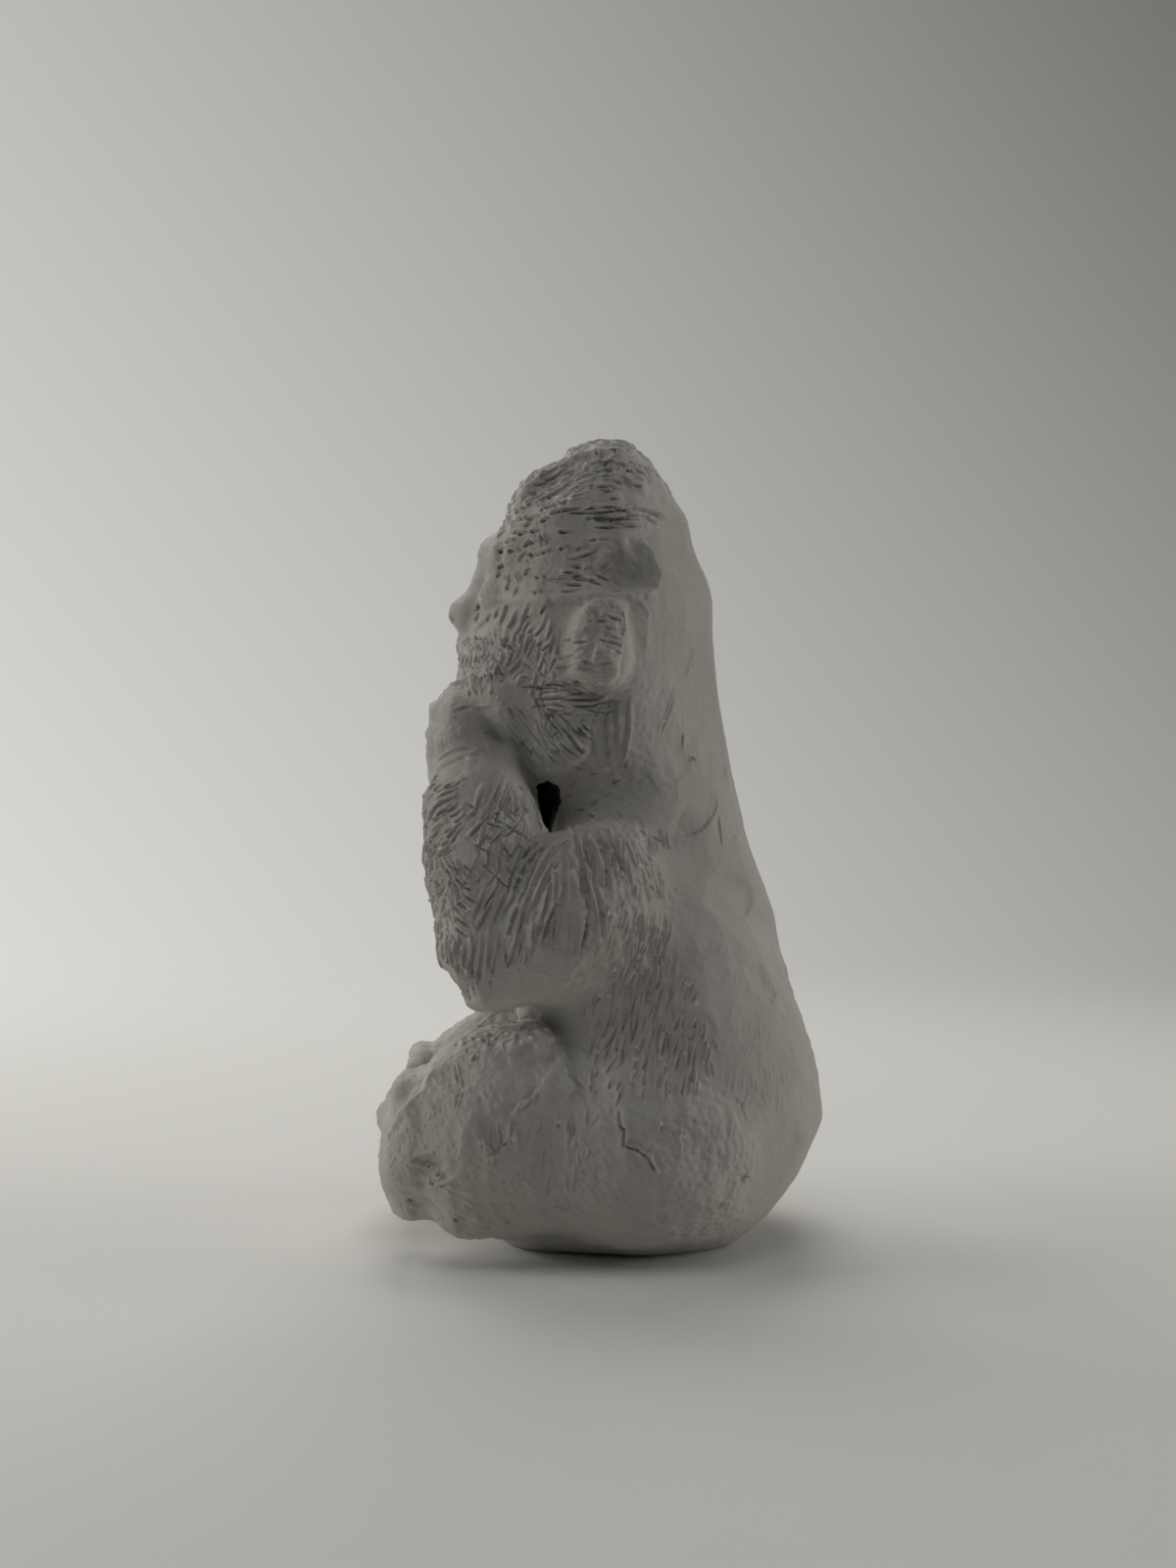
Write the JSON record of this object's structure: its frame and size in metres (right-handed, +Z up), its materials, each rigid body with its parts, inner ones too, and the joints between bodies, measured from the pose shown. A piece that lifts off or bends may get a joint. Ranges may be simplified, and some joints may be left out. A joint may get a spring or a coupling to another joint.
{
  "type": "seated monkey figure",
  "caption": "Hand-built clay monkey, seated with short legs forward and both hands held over its mouth; free-standing shelf ornament.",
  "frame": {"origin": "on the surface it stands on, under the middle of its box", "axes": "+Z up; the monkey faces -Y and its left side is +X"},
  "size_m": [0.0864, 0.098, 0.1754],
  "materials": {
    "clay": "dry, unglazed, tool-marked"
  },
  "bodies": {
    "root": {"trunk": "clay", "head": "clay", "mane": "clay", "crown_cap": "clay", "muzzle": "clay", "nose": "clay", "brow_ridge": "clay", "left_eye": "clay", "left_ear": "clay", "right_eye": "clay", "right_ear": "clay", "left_upper_arm": "clay", "left_forearm": "clay", "right_upper_arm": "clay", "right_forearm": "clay", "left_hand": "clay", "left_index_finger": "clay", "left_middle_finger": "clay", "left_ring_finger": "clay", "left_little_finger": "clay", "left_thumb": "clay", "right_hand": "clay", "right_index_finger": "clay", "right_middle_finger": "clay", "right_ring_finger": "clay", "right_little_finger": "clay", "right_thumb": "clay", "left_thigh": "clay", "left_shin": "clay", "left_foot": "clay", "left_little_toe": "clay", "left_fourth_toe": "clay", "left_third_toe": "clay", "left_second_toe": "clay", "left_big_toe": "clay", "right_thigh": "clay", "right_shin": "clay", "right_foot": "clay", "right_little_toe": "clay", "right_fourth_toe": "clay", "right_third_toe": "clay", "right_second_toe": "clay", "right_big_toe": "clay"}
  },
  "joints": []
}
